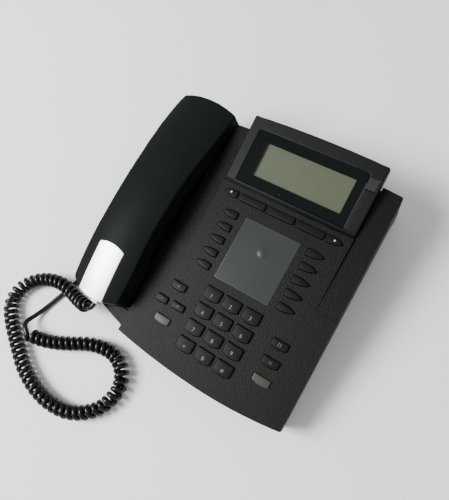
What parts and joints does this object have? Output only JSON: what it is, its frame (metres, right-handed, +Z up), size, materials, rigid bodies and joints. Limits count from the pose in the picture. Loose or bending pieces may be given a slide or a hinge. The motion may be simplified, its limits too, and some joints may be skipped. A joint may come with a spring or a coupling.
{
  "type": "desk ip phone",
  "caption": "Desk telephone with a sloping base, push keys, a label window, a tilting display, a lift-off handset and a coiled cord.",
  "frame": {"origin": "on the desk, below the middle of the phone's bounding box without its cord", "axes": "+X to the phone's right, +Y to its rear, +Z up"},
  "size_m": [0.3016, 0.3254, 0.0797],
  "materials": {
    "housing": "fine moulded grain, charcoal",
    "base_bottom": "matt black",
    "stand": "satin mid grey",
    "key": "satin dark grey with a white figure",
    "key_light": "translucent light grey",
    "handset": "satin black",
    "badge": "satin silver-white",
    "display_case": "satin charcoal",
    "lens": "clear window in a dark border",
    "lcd": "grey-green panel",
    "light": "translucent light grey",
    "label": "clear cover over a grey-green card",
    "rubber": "matt",
    "board": "green board with black chips",
    "metal": "plain",
    "clear_plug": "clear",
    "cord": "glossy black"
  },
  "bodies": {
    "base": {"lower_housing": "base_bottom", "upper_housing": "housing", "label_card": "label", "label_cover": "label", "keypad_mat": "rubber", "main_board": "board", "base_speaker": "metal", "jacks": "base_bottom", "rubber_feet": "rubber", "housing_screws": "metal", "rear_stand": "stand", "base_plug": "clear_plug", "cord_coil": "cord", "cord_leads": "cord"},
    "display": {"display_back": "display_case", "display_frame": "display_case", "display_lens": "lens", "lcd_panel": "lcd", "light_pipe": "light"},
    "handset": {"handset_top": "handset", "handset_bottom": "handset", "badge_plate": "badge", "earpiece": "metal", "microphone": "metal", "handset_plug": "clear_plug"},
    "hook": {"hook_plunger": "base_bottom"},
    "key_1": {"key_1": "key"},
    "key_2": {"key_2": "key"},
    "key_3": {"key_3": "key"},
    "key_4": {"key_4": "key"},
    "key_5": {"key_5": "key"},
    "key_6": {"key_6": "key"},
    "key_7": {"key_7": "key"},
    "key_8": {"key_8": "key"},
    "key_9": {"key_9": "key"},
    "key_star": {"key_star": "key"},
    "key_0": {"key_0": "key"},
    "key_hash": {"key_hash": "key"},
    "key_menu": {"key_menu": "key"},
    "key_volume_down": {"key_volume_down": "key"},
    "key_volume_up": {"key_volume_up": "key"},
    "key_mute": {"key_mute": "key_light"},
    "key_redial": {"key_redial": "key"},
    "key_hold": {"key_hold": "key"},
    "key_speaker": {"key_speaker": "key_light"},
    "key_direct_left_1": {"key_direct_left_1": "key"},
    "key_direct_left_2": {"key_direct_left_2": "key"},
    "key_direct_left_3": {"key_direct_left_3": "key"},
    "key_direct_left_4": {"key_direct_left_4": "key"},
    "key_direct_left_5": {"key_direct_left_5": "key"},
    "key_direct_right_1": {"key_direct_right_1": "key"},
    "key_direct_right_2": {"key_direct_right_2": "key"},
    "key_direct_right_3": {"key_direct_right_3": "key"},
    "key_direct_right_4": {"key_direct_right_4": "key"},
    "key_direct_right_5": {"key_direct_right_5": "key"},
    "key_soft_1": {"key_soft_1": "key"},
    "key_soft_2": {"key_soft_2": "key"},
    "key_soft_3": {"key_soft_3": "key"},
    "key_scroll_left": {"key_scroll_left": "key"},
    "key_scroll_right": {"key_scroll_right": "key"}
  },
  "joints": [
    {"name": "display_tilt", "type": "hinge", "parent": "base", "child": "display", "pos_m": [0.02952, 0.05558, 0.05467], "axis": [1, 0, 0], "range_deg": [-6, 35]},
    {"name": "handset_lift", "type": "slide", "parent": "base", "child": "handset", "axis": [0, -0.1288, 0.9917], "range_m": [0, 0.06]},
    {"name": "hook_rise", "type": "slide", "parent": "base", "child": "hook", "axis": [0, -0.1288, 0.9917], "range_m": [0, 0.003]},
    {"name": "key_1_press", "type": "slide", "parent": "base", "child": "key_1", "axis": [0, 0.1908, -0.9816], "range_m": [0, 0.0012], "stiffness_N_per_m": 500, "springref_m": -0.0005},
    {"name": "key_2_press", "type": "slide", "parent": "base", "child": "key_2", "axis": [0, 0.1908, -0.9816], "range_m": [0, 0.0012], "stiffness_N_per_m": 500, "springref_m": -0.0005},
    {"name": "key_3_press", "type": "slide", "parent": "base", "child": "key_3", "axis": [0, 0.1908, -0.9816], "range_m": [0, 0.0012], "stiffness_N_per_m": 500, "springref_m": -0.0005},
    {"name": "key_4_press", "type": "slide", "parent": "base", "child": "key_4", "axis": [0, 0.1908, -0.9816], "range_m": [0, 0.0012], "stiffness_N_per_m": 500, "springref_m": -0.0005},
    {"name": "key_5_press", "type": "slide", "parent": "base", "child": "key_5", "axis": [0, 0.1908, -0.9816], "range_m": [0, 0.0012], "stiffness_N_per_m": 500, "springref_m": -0.0005},
    {"name": "key_6_press", "type": "slide", "parent": "base", "child": "key_6", "axis": [0, 0.1908, -0.9816], "range_m": [0, 0.0012], "stiffness_N_per_m": 500, "springref_m": -0.0005},
    {"name": "key_7_press", "type": "slide", "parent": "base", "child": "key_7", "axis": [0, 0.1908, -0.9816], "range_m": [0, 0.0012], "stiffness_N_per_m": 500, "springref_m": -0.0005},
    {"name": "key_8_press", "type": "slide", "parent": "base", "child": "key_8", "axis": [0, 0.1908, -0.9816], "range_m": [0, 0.0012], "stiffness_N_per_m": 500, "springref_m": -0.0005},
    {"name": "key_9_press", "type": "slide", "parent": "base", "child": "key_9", "axis": [0, 0.1908, -0.9816], "range_m": [0, 0.0012], "stiffness_N_per_m": 500, "springref_m": -0.0005},
    {"name": "key_star_press", "type": "slide", "parent": "base", "child": "key_star", "axis": [0, 0.1908, -0.9816], "range_m": [0, 0.0012], "stiffness_N_per_m": 500, "springref_m": -0.0005},
    {"name": "key_0_press", "type": "slide", "parent": "base", "child": "key_0", "axis": [0, 0.1908, -0.9816], "range_m": [0, 0.0012], "stiffness_N_per_m": 500, "springref_m": -0.0005},
    {"name": "key_hash_press", "type": "slide", "parent": "base", "child": "key_hash", "axis": [0, 0.1908, -0.9816], "range_m": [0, 0.0012], "stiffness_N_per_m": 500, "springref_m": -0.0005},
    {"name": "key_menu_press", "type": "slide", "parent": "base", "child": "key_menu", "axis": [0, 0.1908, -0.9816], "range_m": [0, 0.0012], "stiffness_N_per_m": 500, "springref_m": -0.0005},
    {"name": "key_volume_down_press", "type": "slide", "parent": "base", "child": "key_volume_down", "axis": [0, 0.1908, -0.9816], "range_m": [0, 0.0012], "stiffness_N_per_m": 500, "springref_m": -0.0005},
    {"name": "key_volume_up_press", "type": "slide", "parent": "base", "child": "key_volume_up", "axis": [0, 0.1908, -0.9816], "range_m": [0, 0.0012], "stiffness_N_per_m": 500, "springref_m": -0.0005},
    {"name": "key_mute_press", "type": "slide", "parent": "base", "child": "key_mute", "axis": [0, 0.1908, -0.9816], "range_m": [0, 0.0012], "stiffness_N_per_m": 500, "springref_m": -0.0005},
    {"name": "key_redial_press", "type": "slide", "parent": "base", "child": "key_redial", "axis": [0, 0.1908, -0.9816], "range_m": [0, 0.0012], "stiffness_N_per_m": 500, "springref_m": -0.0005},
    {"name": "key_hold_press", "type": "slide", "parent": "base", "child": "key_hold", "axis": [0, 0.1908, -0.9816], "range_m": [0, 0.0012], "stiffness_N_per_m": 500, "springref_m": -0.0005},
    {"name": "key_speaker_press", "type": "slide", "parent": "base", "child": "key_speaker", "axis": [0, 0.1908, -0.9816], "range_m": [0, 0.0012], "stiffness_N_per_m": 500, "springref_m": -0.0005},
    {"name": "key_direct_left_1_press", "type": "slide", "parent": "base", "child": "key_direct_left_1", "axis": [0, 0.1908, -0.9816], "range_m": [0, 0.0012], "stiffness_N_per_m": 500, "springref_m": -0.0005},
    {"name": "key_direct_left_2_press", "type": "slide", "parent": "base", "child": "key_direct_left_2", "axis": [0, 0.1908, -0.9816], "range_m": [0, 0.0012], "stiffness_N_per_m": 500, "springref_m": -0.0005},
    {"name": "key_direct_left_3_press", "type": "slide", "parent": "base", "child": "key_direct_left_3", "axis": [0, 0.1908, -0.9816], "range_m": [0, 0.0012], "stiffness_N_per_m": 500, "springref_m": -0.0005},
    {"name": "key_direct_left_4_press", "type": "slide", "parent": "base", "child": "key_direct_left_4", "axis": [0, 0.1908, -0.9816], "range_m": [0, 0.0012], "stiffness_N_per_m": 500, "springref_m": -0.0005},
    {"name": "key_direct_left_5_press", "type": "slide", "parent": "base", "child": "key_direct_left_5", "axis": [0, 0.1908, -0.9816], "range_m": [0, 0.0012], "stiffness_N_per_m": 500, "springref_m": -0.0005},
    {"name": "key_direct_right_1_press", "type": "slide", "parent": "base", "child": "key_direct_right_1", "axis": [0, 0.1908, -0.9816], "range_m": [0, 0.0012], "stiffness_N_per_m": 500, "springref_m": -0.0005},
    {"name": "key_direct_right_2_press", "type": "slide", "parent": "base", "child": "key_direct_right_2", "axis": [0, 0.1908, -0.9816], "range_m": [0, 0.0012], "stiffness_N_per_m": 500, "springref_m": -0.0005},
    {"name": "key_direct_right_3_press", "type": "slide", "parent": "base", "child": "key_direct_right_3", "axis": [0, 0.1908, -0.9816], "range_m": [0, 0.0012], "stiffness_N_per_m": 500, "springref_m": -0.0005},
    {"name": "key_direct_right_4_press", "type": "slide", "parent": "base", "child": "key_direct_right_4", "axis": [0, 0.1908, -0.9816], "range_m": [0, 0.0012], "stiffness_N_per_m": 500, "springref_m": -0.0005},
    {"name": "key_direct_right_5_press", "type": "slide", "parent": "base", "child": "key_direct_right_5", "axis": [0, 0.1908, -0.9816], "range_m": [0, 0.0012], "stiffness_N_per_m": 500, "springref_m": -0.0005},
    {"name": "key_soft_1_press", "type": "slide", "parent": "base", "child": "key_soft_1", "axis": [0, 0.1908, -0.9816], "range_m": [0, 0.0012], "stiffness_N_per_m": 500, "springref_m": -0.0005},
    {"name": "key_soft_2_press", "type": "slide", "parent": "base", "child": "key_soft_2", "axis": [0, 0.1908, -0.9816], "range_m": [0, 0.0012], "stiffness_N_per_m": 500, "springref_m": -0.0005},
    {"name": "key_soft_3_press", "type": "slide", "parent": "base", "child": "key_soft_3", "axis": [0, 0.1908, -0.9816], "range_m": [0, 0.0012], "stiffness_N_per_m": 500, "springref_m": -0.0005},
    {"name": "key_scroll_left_press", "type": "slide", "parent": "base", "child": "key_scroll_left", "axis": [0, 0.1908, -0.9816], "range_m": [0, 0.0012], "stiffness_N_per_m": 500, "springref_m": -0.0005},
    {"name": "key_scroll_right_press", "type": "slide", "parent": "base", "child": "key_scroll_right", "axis": [0, 0.1908, -0.9816], "range_m": [0, 0.0012], "stiffness_N_per_m": 500, "springref_m": -0.0005}
  ],
  "couplings": [
    {"joint": "hook_rise", "follows": "handset_lift", "ratio": 0.05}
  ]
}
